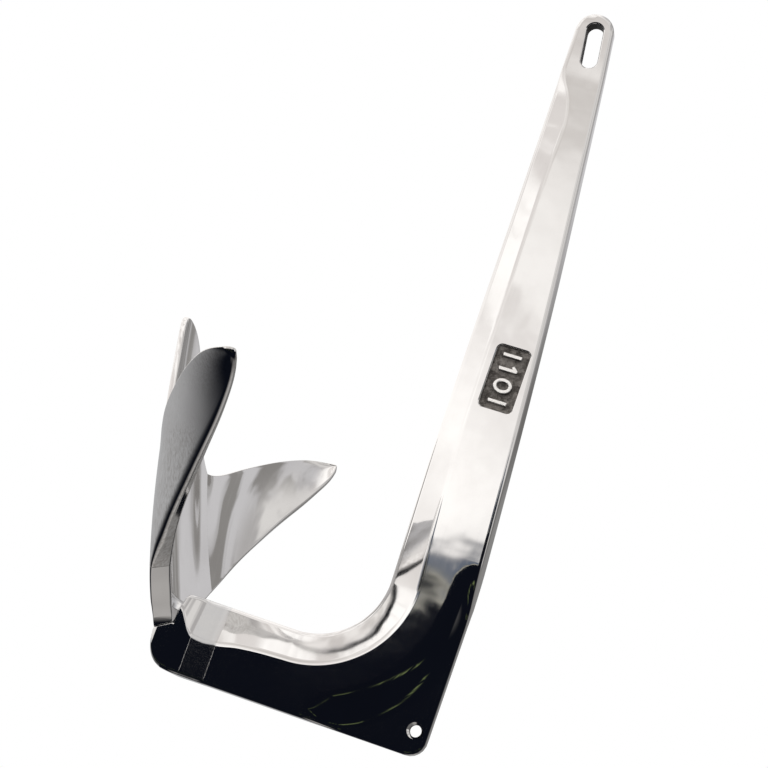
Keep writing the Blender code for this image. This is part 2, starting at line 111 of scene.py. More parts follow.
class Wire:
    """A shader value.  Sums, products and quotients of wires add Math nodes to their tree."""

    def __init__(self, tree, socket=None):
        self.tree = tree
        self.socket = socket

    def node(self, kind, settings=None, inputs=None, output=0):
        """Adds any node: settings first, then socket values or links; returns the wire of one output."""
        made = self.tree.nodes.new("ShaderNode" + kind)
        for name, value in (settings or {}).items():
            setattr(made, name, value)
        for name, value in (inputs or {}).items():
            if isinstance(value, Wire):
                self.tree.links.new(value.socket, made.inputs[name])
            else:
                made.inputs[name].default_value = value
        return Wire(self.tree, made.outputs[output])

    def maths(self, operation, *values):
        return self.node("Math", {"operation": operation}, dict(enumerate(values)))

    def __add__(self, other):
        return self.maths("ADD", self, other)

    def __sub__(self, other):
        return self.maths("SUBTRACT", self, other)

    def __rsub__(self, other):
        return self.maths("SUBTRACT", other, self)

    def __mul__(self, other):
        return self.maths("MULTIPLY", self, other)

    def __truediv__(self, other):
        return self.maths("DIVIDE", self, other)

    def __neg__(self):
        return self.maths("MULTIPLY", self, -1.0)

    __radd__ = __add__
    __rmul__ = __mul__

    def rise(self, low, high):
        """0 below low, 1 above high, eased in between."""
        return self.node("MapRange", {"interpolation_type": "SMOOTHSTEP"},
                         {"Value": self, "From Min": low, "From Max": high})

    def band(self, middle, reach):
        """1 at the middle, easing to 0 one reach to either side."""
        return 1.0 - self.maths("ABSOLUTE", self - middle).rise(0.0, reach)

    def noise(self, scale, detail=2.0, rough=0.5, stretch=None):
        """Noise over this wire's coordinates, optionally stretched by (x, y, z) factors."""
        place = self
        if stretch:
            place = self.node("VectorMath", {"operation": "MULTIPLY"}, {0: self, 1: stretch})
        return place.node("TexNoise", {}, {
            "Vector": place, "Scale": scale, "Detail": detail, "Roughness": rough})

    def tint(self, first, second):
        """This wire picks between two colours."""
        return self.node("Mix", {"data_type": "RGBA"}, {0: self, 6: first, 7: second}, output=2)


def new_object(name, data):
    item = bpy.data.objects.new(name, data)
    bpy.context.scene.collection.objects.link(item)
    return item


def principled(name, slot_values):
    """A new material with its Principled sockets set; returns it, its shader and its object coordinates."""
    material = bpy.data.materials.new(name)
    material.use_nodes = True
    shader = material.node_tree.nodes["Principled BSDF"]
    for socket, value in slot_values.items():
        shader.inputs[socket].default_value = value
    place = Wire(material.node_tree).node("TexCoord", output=3)
    return material, shader, place


def feed(shader, socket, wire):
    wire.tree.links.new(wire.socket, shader.inputs[socket])


world = bpy.data.worlds.new("tent")
bpy.context.scene.world = world
world.use_nodes = True
backdrop = world.node_tree.nodes["Background"]
direction = Wire(world.node_tree).node("TexCoord")
across = direction.node("SeparateXYZ", {}, {0: direction}, 0)
ahead = direction.node("SeparateXYZ", {}, {0: direction}, 1)
up = direction.node("SeparateXYZ", {}, {0: direction}, 2)
height = up.maths("ARCSINE", up) * math.degrees(1.0)
left = (-across).rise(-0.03, 0.22)
right = across.rise(-0.15, 0.20)
far_left = (-across).rise(0.40, 0.85)
front = 1.0 - ahead.rise(-0.60, 0.05)

# The tent: white cloth in soft folds on the working side, with a beige roll
# across it, and plainer cloth in bigger drapes behind the anchor.
opening = (TENT_OPENING - 3.0 * left - 7.0 * far_left + 4.0 * across.rise(0.10, 0.45) * front
           + TENT_RAGGED * (direction.noise(5.0, 1.0, 0.5) - 0.5))
above = (height - opening) / (1.0 + 8.0 * far_left + 2.0 * (1.0 - front))
lit = above.rise(-0.5, 0.5)
folds = direction.noise(7.0, 4.0, 0.55, (1.0, 1.0, 1.7)).rise(0.41, 0.59)
glow = height.band(9.0, 7.0)
beige = height.band(25.0, 13.0) * (1.0 - (-across).rise(0.34, 0.60)) * front * 0.85
near_tent = beige.tint(folds.maths("MAXIMUM", folds, glow).tint(TENT_SHADE, TENT_WHITE), TENT_BEIGE)
back_drape = direction.noise(3.4, 3.0, 0.5).rise(0.42, 0.56).tint(BACK_SHADE, BACK_WHITE)
back = height.rise(12.0, 20.0).tint(BACK_LOW, back_drape)
far_drape = direction.noise(2.4, 3.0, 0.5).rise(0.42, 0.58).tint(FAR_SHADE, FAR_WHITE)
far_tent = ahead.rise(-0.12, 0.25).tint(far_drape, back)
tent = left.tint(far_tent, near_tent)

# Under the tent's edge: a dark room in front, with a blue haze, a cream
# streak and a strip of grass, and a grey wall over a pale path behind.
depth = opening - height
haze = depth.band(0.8, 1.0) * direction.noise(8.0, 1.0).rise(0.30, 0.48)
edge = depth + 2.4 * (direction.noise(9.0, 2.0, 0.6) - 0.5)
streak = edge.band(1.7, 0.26) * direction.noise(12.0, 1.0).rise(0.40, 0.52)
grass = height.band(-13.0, 2.2) * direction.noise(9.0, 3.0).rise(0.45, 0.6) * (1.0 - across.rise(0.36, 0.44))
dark = depth.rise(0.9, 2.2).tint(ROOM_NAVY, ROOM_DARK)
room = streak.tint(haze.tint(grass.tint(dark, GRASS_GREEN), ROOM_BLUE), ROOM_CREAM)
left_wall = height.rise(-64.0, -6.0).tint(ROOM_DARK, WALL_GREY)
right_wall = height.rise(-62.0, -46.0).tint(PATH_PALE, PATH_GREY)
under = front.tint(right.tint(left_wall, right_wall), room)
sky = lit.tint(under, tent)
seen = direction.node("LightPath", output=0)
feed(backdrop, "Color", seen.tint(sky, BACKGROUND_WHITE))
backdrop.inputs["Strength"].default_value = 1.0

bpy.context.scene.view_settings.view_transform = "Standard"

bpy.ops.mesh.primitive_circle_add(vertices=96, radius=FLOOR_RADIUS, fill_type="NGON",
                                  location=(0.0, 0.0, cad_low[2] - FLOOR_DROP))
floor = bpy.context.object
floor.name = "floor"
floor_paint, floor_shader, floor_place = principled("floor_paint", {
    "Roughness": 0.9, "Specular IOR Level": 0.2})
feed(floor_shader, "Base Color", floor_place.noise(3.0, 4.0).tint(FLOOR_PALE, FLOOR_WORN))
floor.data.materials.append(floor_paint)
floor.visible_glossy = False
floor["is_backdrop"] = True

softbox = new_object("top_softbox", bpy.data.lights.new("top_softbox", "AREA"))
softbox.data.shape = "RECTANGLE"
softbox.data.size, softbox.data.size_y = SOFTBOX_SIZE
softbox.data.energy = SOFTBOX_POWER
softbox.location = SOFTBOX_PLACE
softbox.visible_glossy = False
softbox.rotation_mode = "QUATERNION"
softbox.rotation_quaternion = (CAMERA_TARGET - softbox.location).to_track_quat("-Z", "Y")

# ---------------------------------------------------------------- shank
# One heavy bar of cast stainless steel, ground and mirror polished by hand:
# a rounded eye at the top, a long bevel down its inner edge, and a thin heel
# plate below the bend, where the beam's side falls away in a hollow fillet.
MM = 0.001
shank_low, shank_high = (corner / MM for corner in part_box("shank"))
SOLE = shank_low.z
HEEL = shank_high.x
HALF = shank_high.y
HEAD_RADIUS = 15.0
HEAD_X = -2.0
HEAD_Z = shank_high.z - HEAD_RADIUS
HEAD_HALF = 6.5
EDGE_ROUND = 3.2
INNER_X = ((12, -17.0), (-100, -16.0), (-320, -14.0), (-446, -10.0))
OUTER_X = ((12, 13.0), (-24, 17.5), (-103, 26.0), (-200, 36.0), (-300, 44.5), (-380, 50.5), (-446, 55.0))
HALF_THICK = ((12, 6.5), (-25, 6.5), (-60, 7.6), (-140, 9.2), (-280, 11.2), (-380, 12.0), (-446, 12.0))
NOSE_HALF = ((12, 5.9), (-22, 5.9), (-50, 4.6), (-90, 4.2), (-446, 4.2))
NOSE_ROUND = ((12, 1.6), (-22, 1.6), (-50, 3.2), (-446, 3.4))
BEVEL_WIDE = ((12, 1.6), (-22, 1.6), (-30, 3.4), (-48, 13.0), (-70, 17.0), (-100, 16.0), (-230, 17.0),
              (-330, 18.0), (-385, 20.0), (-446, 23.0))
BEND_X, BEND_Z = -66.0, -446.0
BEND_RADIUS = 56.0
BEND_BEVEL = 23.0
HEEL_ROUND = 13.0
FILLET_IN = 52.5               # from the inner edge to where the side starts to fall away
FILLET_OUT = 65.5              # and to where it meets the heel plate
FILLET_SOFT = 9.0
FILLET_TOP = -415.0            # height at which the fillet starts to grow
FILLET_GROWS = 50.0            # and how far further down it is complete
FILLET_SWING = 122.0           # how fast it goes on growing round the bend
FILLET_FADES = (64.0, 77.0)    # degrees round the bend over which it dies out again
STEEPEST = 1.4                 # the turn past which that growth is complete anyway
FLAT_START, FLAT_STOP = 8.0, 3.0   # where the fillet would sit on the plain bar, from its rim
PLATE_HALF = 4.0
RIDGE_ROUND = 2.2
LIMB_TOP = BEND_Z - BEND_RADIUS
LIMB_END = -118.0
LIMB_BEVEL = ((-66, 23.0), (-84, 24.0), (-102, 26.0), (-118, 29.5), (-136.7, 31.0))
LIMB_START, LIMB_STOP = 10.0, 5.0  # the same two places on the limb, whose side stays flat
LIMB_NOSE = 4.2
LIMB_NOSE_ROUND = 3.4
SECTION_STEP = 3.0             # between cross-sections along the bar
HEAD_STEPS, BEND_STEPS, LIMB_STEPS = 22, 72, 18
HEAD_TURN = 88.0               # degrees over which the head is rounded, short of its very top


def along(table, at):
    """A smooth value through a table of (place, value) pairs, flat past its ends."""
    pairs = sorted(table)
    if at <= pairs[0][0]:
        return pairs[0][1]
    if at >= pairs[-1][0]:
        return pairs[-1][1]
    slopes = [(b[1] - a[1]) / (b[0] - a[0]) for a, b in zip(pairs, pairs[1:])]
    n = next(k for k in range(len(slopes)) if at <= pairs[k + 1][0])

    def tangent(k):
        before, after = slopes[max(k - 1, 0)], slopes[min(k, len(slopes) - 1)]
        if before * after <= 0.0:
            return 0.0
        return 2.0 * before * after / (before + after)

    span = pairs[n + 1][0] - pairs[n][0]
    t = (at - pairs[n][0]) / span
    first, second = pairs[n][1], pairs[n + 1][1]
    return (first * (1 + 2 * t) * (1 - t) ** 2 + second * t * t * (3 - 2 * t)
            + span * (tangent(n) * t * (1 - t) ** 2 - tangent(n + 1) * t * t * (1 - t)))


def ease(value):
    value = min(max(value, 0.0), 1.0)
    return value * value * (3.0 - 2.0 * value)


def blend(first, second, share):
    return first + (second - first) * share


def rounded(corners):
    """An open outline through (across, half, radius, steps) corners, each rounded in so many steps."""
    pull = 0.55
    points = [corners[0][:2]]
    for before, corner, after in zip(corners, corners[1:], corners[2:]):
        middle = Vector(corner[:2])
        arms = []
        for other in (before, after):
            arm = Vector(other[:2]) - middle
            arms.append(arm.normalized() * min(corner[2], 0.48 * arm.length) if arm.length else arm)
        for step in range(corner[3] + 1):
            t = step / corner[3]
            a, d = arms
            b, c = a * (1.0 - pull), d * (1.0 - pull)
            point = a * (1 - t) ** 3 + b * 3 * t * (1 - t) ** 2 + c * 3 * t * t * (1 - t) + d * t ** 3
            points.append(tuple(middle + point))
    points.append(corners[-1][:2])
    return points


def bar_section(width, nose, nose_round, bevel, half, side):
    """Half a cross-section, from the middle of the bar's inner edge to the middle of its outer one."""
    start, stop, plate = side
    return rounded(((0.0, 0.0, 0, 0), (0.0, nose, nose_round, 8), (bevel, half, RIDGE_ROUND, 5),
                    (start, half, FILLET_SOFT, 8), (stop, plate, FILLET_SOFT, 8),
                    (width, plate, EDGE_ROUND, 7), (width, 0.0, 0, 0)))


def fallen_side(width, half, share):
    """Where the side starts to fall, where it stops and the half thickness left, for a share of the fall."""
    rim = width - EDGE_ROUND
    return (blend(rim - FLAT_START, FILLET_IN, share),
            blend(rim - FLAT_STOP, min(FILLET_OUT, rim - 0.4), share), blend(half, PLATE_HALF, share))


def ring(start, heading, section):
    """A closed section of the bar: out along the near side and back along the far one."""
    near = [Vector((start[0] + heading[0] * w, -h, start[1] + heading[1] * w)) for w, h in section]
    far = [Vector((x, -y, z)) for x, y, z in reversed(near[1:-1])]
    return near + far


def straight_section(z):
    """Where the inner edge of the straight bar is at one height, and the section there."""
    inner = along(INNER_X, z)
    width = along(OUTER_X, z) - inner
    half = along(HALF_THICK, z)
    nose, nose_round, bevel = along(NOSE_HALF, z), along(NOSE_ROUND, z), along(BEVEL_WIDE, z)
    side = fallen_side(width, half, ease((FILLET_TOP - z) / FILLET_GROWS))
    return inner, bar_section(width, nose, nose_round, bevel, half, side)


def head_section(turn, widest):
    """A section across the round head: its thickness rounds off towards the outline."""
    reach = HEAD_RADIUS * math.cos(turn)
    level = HEAD_RADIUS * math.sin(turn)
    section = []
    for w, h in widest:
        x = (w / HEAD_RADIUS - 1.0) * reach
        if h > HEAD_HALF - EDGE_ROUND:
            inside = min(max(HEAD_RADIUS - math.hypot(x, level), 0.0), EDGE_ROUND)
            h = HEAD_HALF - EDGE_ROUND + math.sqrt(EDGE_ROUND ** 2 - (EDGE_ROUND - inside) ** 2)
        section.append((x + reach, h))
    return HEAD_X - reach, HEAD_Z + level, section


def heel_reach(turn):
    """From the middle of the bend to the outline of the heel plate, round its corner."""
    across, down = math.cos(turn), math.sin(turn)
    far = min((HEEL - BEND_X) / max(across, 1e-9), (BEND_Z - SOLE) / max(down, 1e-9))
    corner = (HEEL - HEEL_ROUND - BEND_X, BEND_Z - SOLE - HEEL_ROUND)
    if far * across > corner[0] and far * down > corner[1]:
        middle = across * corner[0] + down * corner[1]
        return middle + math.sqrt(middle ** 2 - corner[0] ** 2 - corner[1] ** 2 + HEEL_ROUND ** 2)
    return far


def loft(name, rings):
    """Skins a row of closed rings and closes both ends; a ring's first and middle points are its poles."""
    mesh = bmesh.new()
    rows = [[mesh.verts.new(point * MM) for point in points] for points in rings]
    count = len(rows[0])
    for first, second in zip(rows, rows[1:]):
        for n in range(count):
            m = (n + 1) % count
            mesh.faces.new((first[n], first[m], second[m], second[n]))
    for row in (rows[0], rows[-1]):
        for n in range(count // 2):
            corners = [row[n], row[n + 1], row[count - n - 1], row[-n]]
            mesh.faces.new([corner for k, corner in enumerate(corners) if corner not in corners[:k]])
    bmesh.ops.remove_doubles(mesh, verts=mesh.verts, dist=0.000002)
    bmesh.ops.dissolve_degenerate(mesh, edges=mesh.edges, dist=0.000001)
    bmesh.ops.recalc_face_normals(mesh, faces=mesh.faces)
    data = bpy.data.meshes.new(name)
    mesh.to_mesh(data)
    mesh.free()
    return new_object(name, data)


def settle(item, sharp=35.0):
    """Applies what modifiers the piece has, shades it smooth and lets its broad faces lead the shading."""
    graph = bpy.context.evaluated_depsgraph_get()
    for tool in ("made", "weighted"):
        if tool == "weighted":
            lead = item.modifiers.new("broad_faces_lead", "WEIGHTED_NORMAL")
            lead.weight = 50
            lead.keep_sharp = True
        bpy.context.view_layer.update()
        data = bpy.data.meshes.new_from_object(item.evaluated_get(graph))
        item.modifiers.clear()
        item.data = data
        if tool == "made":
            data.shade_smooth()
            data.set_sharp_from_angle(angle=math.radians(sharp))
    item.data.name = item.name
    return item


def cut(item, sharp, *tools):
    for tool in tools:
        change = item.modifiers.new("cut", "BOOLEAN")
        change.operation = "DIFFERENCE"
        change.solver = "EXACT"
        change.object = tool
    settle(item, sharp)
    for tool in tools:
        bpy.data.objects.remove(tool, do_unlink=True)


shank_rings = []
widest = straight_section(HEAD_Z)[1]
for step in range(HEAD_STEPS, 0, -1):
    inner, level, section = head_section(math.radians(HEAD_TURN * step / HEAD_STEPS), widest)
    shank_rings.append(ring((inner, level), (1.0, 0.0), section))
straight_long = HEAD_Z - BEND_Z
steps = round(straight_long / SECTION_STEP)
for step in range(steps):
    z = HEAD_Z - straight_long * step / steps
    inner, section = straight_section(z)
    shank_rings.append(ring((inner, z), (1.0, 0.0), section))
for step in range(BEND_STEPS):
    turn = 0.5 * math.pi * step / BEND_STEPS
    heading = (math.cos(turn), -math.sin(turn))
    reach = heel_reach(turn) - BEND_RADIUS
    grown = ease((FILLET_TOP - BEND_Z + FILLET_SWING * math.tan(min(turn, STEEPEST))) / FILLET_GROWS)
    left_over = ease((FILLET_FADES[1] - math.degrees(turn)) / (FILLET_FADES[1] - FILLET_FADES[0]))
    side = fallen_side(reach, HALF, min(grown, left_over))
    section = bar_section(reach, LIMB_NOSE, LIMB_NOSE_ROUND, BEND_BEVEL, HALF, side)
    start = (BEND_X + BEND_RADIUS * heading[0], BEND_Z + BEND_RADIUS * heading[1])
    shank_rings.append(ring(start, heading, section))
tall = LIMB_TOP - SOLE
for step in range(LIMB_STEPS + 1):
    x = blend(BEND_X, LIMB_END, step / LIMB_STEPS)
    side = (tall - LIMB_START, tall - LIMB_STOP, HALF)
    section = bar_section(tall, LIMB_NOSE, LIMB_NOSE_ROUND, along(LIMB_BEVEL, x), HALF, side)
    shank_rings.append(ring((x, LIMB_TOP), (0.0, -1.0), section))
shank = loft("shank_bar", shank_rings)


def rounded_box(wide, tall, corner, steps, wider=0.0):
    """A rectangle's outline with round corners, counter-clockwise, set wider all round."""
    points = []
    for quarter, (sx, sz) in enumerate(((1, 1), (-1, 1), (-1, -1), (1, -1))):
        for step in range(steps + 1):
            turn = 0.5 * math.pi * (quarter + step / steps)
            points.append((sx * (0.5 * wide - corner) + (corner + wider) * math.cos(turn),
                           sz * (0.5 * tall - corner) + (corner + wider) * math.sin(turn)))
    return points


def cutter(name, layers, side):
    """A cutting tool from (outline, y) layers; side gives the y of the surface it starts from."""
    mesh = bmesh.new()
    rows = []
    for outline, y in layers:
        rows.append([mesh.verts.new(Vector((x, side(x, z) + y, z)) * MM) for x, z in outline])
    count = len(rows[0])
    for first, second in zip(rows, rows[1:]):
        for n in range(count):
            m = (n + 1) % count
            mesh.faces.new((first[n], first[m], second[m], second[n]))
    mesh.faces.new(rows[0])
    mesh.faces.new(rows[-1])
    bmesh.ops.recalc_face_normals(mesh, faces=mesh.faces)
    data = bpy.data.meshes.new(name)
    mesh.to_mesh(data)
    mesh.free()
    return new_object(name, data)


SLOT_RADIUS = 6.5
SLOT_HALF_SPAN = 12.0
SLOT_LEAN = math.radians(7.5)
SLOT_LIP = 1.5
# The trip-line hole near the heel is countersunk from both sides.
TRIP_X, TRIP_Z = 44.0, SOLE + 19.0
TRIP_RADIUS = 4.6
TRIP_SINK = 6.3
TRIP_LIP = 1.6


def lip(depth, steps=6):
    """(wider, inset) pairs of a rounded lip, from just above the surface down to the wall."""
    pairs = [(2.2 * depth, -1.0 * depth)]
    for step in range(1, steps + 1):
        turn = 0.5 * math.pi * step / steps
        pairs.append((depth * (1.0 - math.sin(turn)), depth * (1.0 - math.cos(turn))))
    return pairs


def slot_outline(wider):
    long = 2.0 * (SLOT_RADIUS + SLOT_HALF_SPAN)
    points = rounded_box(2.0 * SLOT_RADIUS, long, SLOT_RADIUS - 0.001, 12, wider)
    turn = Matrix.Rotation(SLOT_LEAN, 2)
    return [tuple(turn @ Vector(point)) for point in points]


def trip_outline(radius, steps=56):
    turns = [2.0 * math.pi * n / steps for n in range(steps)]
    return [(TRIP_X + radius * math.cos(turn), TRIP_Z + radius * math.sin(turn)) for turn in turns]


def through_cutter(name, near):
    """A tool that cuts right through, its far half the mirror of its near one."""
    far = [(outline, -y) for outline, y in reversed(near)]
    return cutter(name, near + far, lambda x, z: 0.0)


slot_cutter = through_cutter("slot_cutter", [
    (slot_outline(wider), -HEAD_HALF + inset) for wider, inset in lip(SLOT_LIP)])
trip_cutter = through_cutter("trip_cutter", [
    (trip_outline(TRIP_SINK + TRIP_LIP), -PLATE_HALF - TRIP_LIP), (trip_outline(TRIP_SINK), -PLATE_HALF),
    (trip_outline(TRIP_RADIUS), -PLATE_HALF + TRIP_LIP)])

RECESS_WIDE, RECESS_TALL = 26.0, 50.0
RECESS_CORNER = 4.0
RECESS_LIP = 1.3
RECESS_FLOOR = -8.3
RECESS_X, RECESS_Z = 22.3, -274.5
RECESS_TAPER = 0.15
PLATE_DEEP = 0.7
HALF_AT_RECESS = 0.93          # the bar's half thickness there, as a share of HALF


def near_side(x, z):
    return -along(HALF_THICK, z)


def recess_outline(wider):
    box = rounded_box(RECESS_WIDE, RECESS_TALL, RECESS_CORNER, 8, wider)
    return [(RECESS_X + x, RECESS_Z + z) for x, z in box]


layers = [(recess_outline(wider), inset) for wider, inset in lip(RECESS_LIP)]
layers.append((recess_outline(-RECESS_TAPER), RECESS_FLOOR + PLATE_DEEP + HALF * HALF_AT_RECESS))
recess_cutter = cutter("recess_cutter", layers, near_side)
cut(shank, 25.0, slot_cutter, trip_cutter, recess_cutter)


STEEL_BRIGHT = (0.86, 0.855, 0.85, 1.0)
STEEL_SMEARED = (0.80, 0.79, 0.785, 1.0)
STEEL_BRUSHED = (0.42, 0.39, 0.36, 1.0)
PIT_BROWN = (0.10, 0.09, 0.08, 1.0)
SWELL_HIGH = 0.00045           # the height of each kind of relief, in metres
DIMPLE_HIGH = 0.00006
LINE_HIGH = 0.0000012
PIT_DEEP = 0.00015


def relief(high):
    """The surface tilted by a height that varies over it, in metres."""
    return high.node("Bump", {}, {"Strength": 1.0, "Distance": 1.0, "Height": high})


def polished(name, grain, rough=0.035, wave=1.0, brush=0.0):
    """Hand-polished stainless steel: gentle waves, fine wheel lines along the grain, smears, a few pits."""
    material, shader, place = principled(name, {"Metallic": 1.0, "Specular IOR Level": 0.5})
    smear = place.noise(16.0, 4.0, 0.6).rise(0.40, 0.70)
    lines = place.noise(900.0, 2.0, 0.6, grain)
    pits = place.node("TexVoronoi", {"feature": "F1"}, {"Vector": place, "Scale": 42.0}, 0)
    chance = place.noise(23.0, 0.0).rise(0.60, 0.66)
    pit = (1.0 - pits.rise(0.018, 0.030)) * chance
    steel = smear.tint(STEEL_BRIGHT, STEEL_SMEARED)
    strokes = place.noise(620.0, 3.0, 0.6, grain).rise(0.36, 0.70) * place.noise(14.0, 2.0).rise(0.34, 0.60)
    brushed = (brush * strokes).tint(steel, STEEL_BRUSHED)
    feed(shader, "Base Color", pit.tint(brushed, PIT_BROWN))
    feed(shader, "Roughness", rough + 0.02 * smear + 0.02 * lines.rise(0.5, 0.8) + 0.3 * pit)
    swell = place.noise(17.0, 1.0, 0.4) * (SWELL_HIGH * wave)
    dimples = place.noise(55.0, 1.0, 0.5) * (DIMPLE_HIGH * wave)
    feed(shader, "Normal", relief(swell + dimples + lines * LINE_HIGH - pit * PIT_DEEP))
    return material


def as_cast(name, dark, light, grain_high):
    """The skin steel keeps from the mould: rough, brown-grey and grainy."""
    material, shader, place = principled(name, {"Metallic": 0.75})
    sand = place.noise(1300.0, 3.0, 0.7)
    stain = place.noise(190.0, 3.0, 0.6).rise(0.35, 0.68)
    feed(shader, "Base Color", (stain * 0.6 + sand.rise(0.4, 0.65) * 0.4).tint(dark, light))
    feed(shader, "Roughness", 0.62 - 0.22 * sand)
    feed(shader, "Normal", relief(sand * grain_high))
    return material


# Painted shade: near-black colours for the walls inside the slot and the trip-line hole.
WALL_SHADE_DARK = (0.012, 0.012, 0.012, 1.0)
WALL_SHADE_BROWN = (0.06, 0.058, 0.055, 1.0)

bar_steel = polished("polished_bar_steel", (1.0, 1.0, 0.03))
wall_painted_shade = as_cast("as_cast_wall_painted_shade", WALL_SHADE_DARK, WALL_SHADE_BROWN, 0.00012)
shank.data.materials.clear()
shank.data.materials.append(bar_steel)
shank.data.materials.append(wall_painted_shade)
# The walls of the slot and of the trip-line hole aren't polished; their cast skin is painted near black as
# shade.
slot_turn = Matrix.Rotation(-SLOT_LEAN, 2)
for face in shank.data.polygons:
    x, y, z = face.center / MM
    slot_x, slot_z = slot_turn @ Vector((x, z))
    past = max(abs(slot_z) - SLOT_HALF_SPAN, 0.0)
    in_slot = math.hypot(slot_x, past) < SLOT_RADIUS + 0.1 and abs(y) < HEAD_HALF
    in_hole = math.hypot(x - TRIP_X, z - TRIP_Z) < TRIP_RADIUS + 0.1 and abs(y) < PLATE_HALF - 0.5 * TRIP_LIP
    if in_slot or in_hole:
        face.material_index = 1
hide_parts("shank")
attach(shank, "root")

# ---------------------------------------------------------------- weight mark
# A shallow pocket cast into the near side holds the weight in raised figures.
# Its floor keeps the sandy skin of the mould; the figures are rubbed bright.
MARK_TALL = 15.0
MARK_LONG = 40.0
MARK_STROKE = 3.0
MARK_DEEP = 1.9
MARK_SOFT = 0.55
FLOOR_INSET = 0.25
MARK_GAP = 0.3                 # between a figure and the pocket's floor, which grains fill
PLATE_GAP = 0.05               # between the floor plate's back and the bar
GRAIN_DENSITY = 1.9e6          # grains per square metre
GRAIN_RADIUS = 0.00024
GRAIN_SMALLEST = (0.5, 0.3, 0.5)
GRAIN_LARGEST = (1.9, 0.9, 1.9)
FLOOR_DARK = (0.07, 0.062, 0.056, 1.0)
FLOOR_LIGHT = (0.50, 0.47, 0.44, 1.0)
RUB_SHADE = (0.86, 0.85, 0.83, 1.0)
RUB_BRIGHT = (1.0, 0.99, 0.97, 1.0)


def node_group(name, inputs):
    """A Geometry Nodes tree with a geometry input and output and the named values between."""
    tree = bpy.data.node_groups.new(name, "GeometryNodeTree")
    tree.interface.new_socket("Geometry", in_out="INPUT", socket_type="NodeSocketGeometry")
    for socket, (kind, value) in inputs.items():
        made = tree.interface.new_socket(socket, in_out="INPUT", socket_type="NodeSocket" + kind)
        if value is not None:
            made.default_value = value
    tree.interface.new_socket("Geometry", in_out="OUTPUT", socket_type="NodeSocketGeometry")
    return tree, tree.nodes.new("NodeGroupInput"), tree.nodes.new("NodeGroupOutput")


def step_node(tree, kind, settings=None, inputs=None):
    """Adds one Geometry Nodes step; inputs are sockets to link or plain values."""
    made = tree.nodes.new(kind)
    for name, value in (settings or {}).items():
        setattr(made, name, value)
    for name, value in (inputs or {}).items():
        if isinstance(value, bpy.types.NodeSocket):
            tree.links.new(value, made.inputs[name])
        else:
            made.inputs[name].default_value = value
    return made


def run_tree(item, tree, values):
    """Runs a Geometry Nodes tree on a piece with its inputs set, and keeps the mesh it makes."""
    change = item.modifiers.new(tree.name, "NODES")
    change.node_group = tree
    for socket in tree.interface.items_tree:
        if socket.in_out == "INPUT" and socket.name in values:
            change[socket.identifier] = values[socket.name]
    bpy.context.view_layer.update()
    graph = bpy.context.evaluated_depsgraph_get()
    data = bpy.data.meshes.new_from_object(item.evaluated_get(graph))
    item.modifiers.clear()
    item.data = data
    data.name = item.name
    return item


grain_tree, given, result = node_group("sand_grain", {
    "Density": ("Float", 1.0), "Grain radius": ("Float", 0.001), "Seed": ("Int", 3),
    "Material": ("Material", None)})
points = step_node(grain_tree, "GeometryNodeDistributePointsOnFaces", {}, {
    "Mesh": given.outputs["Geometry"], "Density": given.outputs["Density"], "Seed": given.outputs["Seed"]})
grain = step_node(grain_tree, "GeometryNodeMeshIcoSphere", {}, {
    "Radius": given.outputs["Grain radius"], "Subdivisions": 2})
size = step_node(grain_tree, "FunctionNodeRandomValue", {"data_type": "FLOAT_VECTOR"}, {
    0: GRAIN_SMALLEST, 1: GRAIN_LARGEST, "Seed": given.outputs["Seed"]})
scatter = step_node(grain_tree, "GeometryNodeInstanceOnPoints", {}, {
    "Points": points.outputs["Points"], "Instance": grain.outputs["Mesh"], "Scale": size.outputs[0]})
real = step_node(grain_tree, "GeometryNodeRealizeInstances", {}, {"Geometry": scatter.outputs["Instances"]})
smooth = step_node(grain_tree, "GeometryNodeSetShadeSmooth", {}, {"Geometry": real.outputs["Geometry"]})
both = step_node(grain_tree, "GeometryNodeJoinGeometry", {}, {"Geometry": smooth.outputs["Geometry"]})
grain_tree.links.new(given.outputs["Geometry"], both.inputs["Geometry"])
paint = step_node(grain_tree, "GeometryNodeSetMaterial", {}, {
    "Geometry": both.outputs["Geometry"], "Material": given.outputs["Material"]})
grain_tree.links.new(paint.outputs["Geometry"], result.inputs["Geometry"])


def pocket_floor():
    """A thin plate that closes the pocket, its corners round."""
    mesh = bmesh.new()
    outline = recess_outline(-FLOOR_INSET)
    front = [mesh.verts.new(Vector((x, RECESS_FLOOR, z)) * MM) for x, z in outline]
    back = [mesh.verts.new(Vector((x, RECESS_FLOOR + PLATE_DEEP - PLATE_GAP, z)) * MM) for x, z in outline]
    mesh.faces.new(front)
    mesh.faces.new(back)
    for n in range(len(outline)):
        m = (n + 1) % len(outline)
        mesh.faces.new((front[n], front[m], back[m], back[n]))
    bmesh.ops.recalc_face_normals(mesh, faces=mesh.faces)
    data = bpy.data.meshes.new("pocket_floor")
    mesh.to_mesh(data)
    mesh.free()
    return new_object("pocket_floor", data)


floor_skin = as_cast("as_cast_floor", FLOOR_DARK, FLOOR_LIGHT, 0.00010)
pocket = run_tree(pocket_floor(), grain_tree, {
    "Density": GRAIN_DENSITY, "Grain radius": GRAIN_RADIUS, "Seed": 11, "Material": floor_skin})
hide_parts("shank")
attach(pocket, "root")

mark_steel, shader, place = principled("rubbed_bright_steel", {"Metallic": 1.0})
rub = place.noise(260.0, 3.0, 0.6)
feed(shader, "Base Color", rub.rise(0.3, 0.7).tint(RUB_SHADE, RUB_BRIGHT))
feed(shader, "Roughness", 0.10 + 0.14 * rub)
feed(shader, "Normal", relief(rub * 0.00006))


def zero_outline(inset, sense):
    """The zero's oval, its outer edge or, inset by a stroke and the other way round, its inner one."""
    steps = 64
    points = []
    for step in range(steps):
        turn = sense * 2.0 * math.pi * step / steps
        points.append((0.5 * ZERO_WIDE + (0.5 * ZERO_WIDE - inset) * math.cos(turn),
                       0.5 * MARK_TALL + (0.5 * MARK_TALL - inset) * math.sin(turn)))
    return points


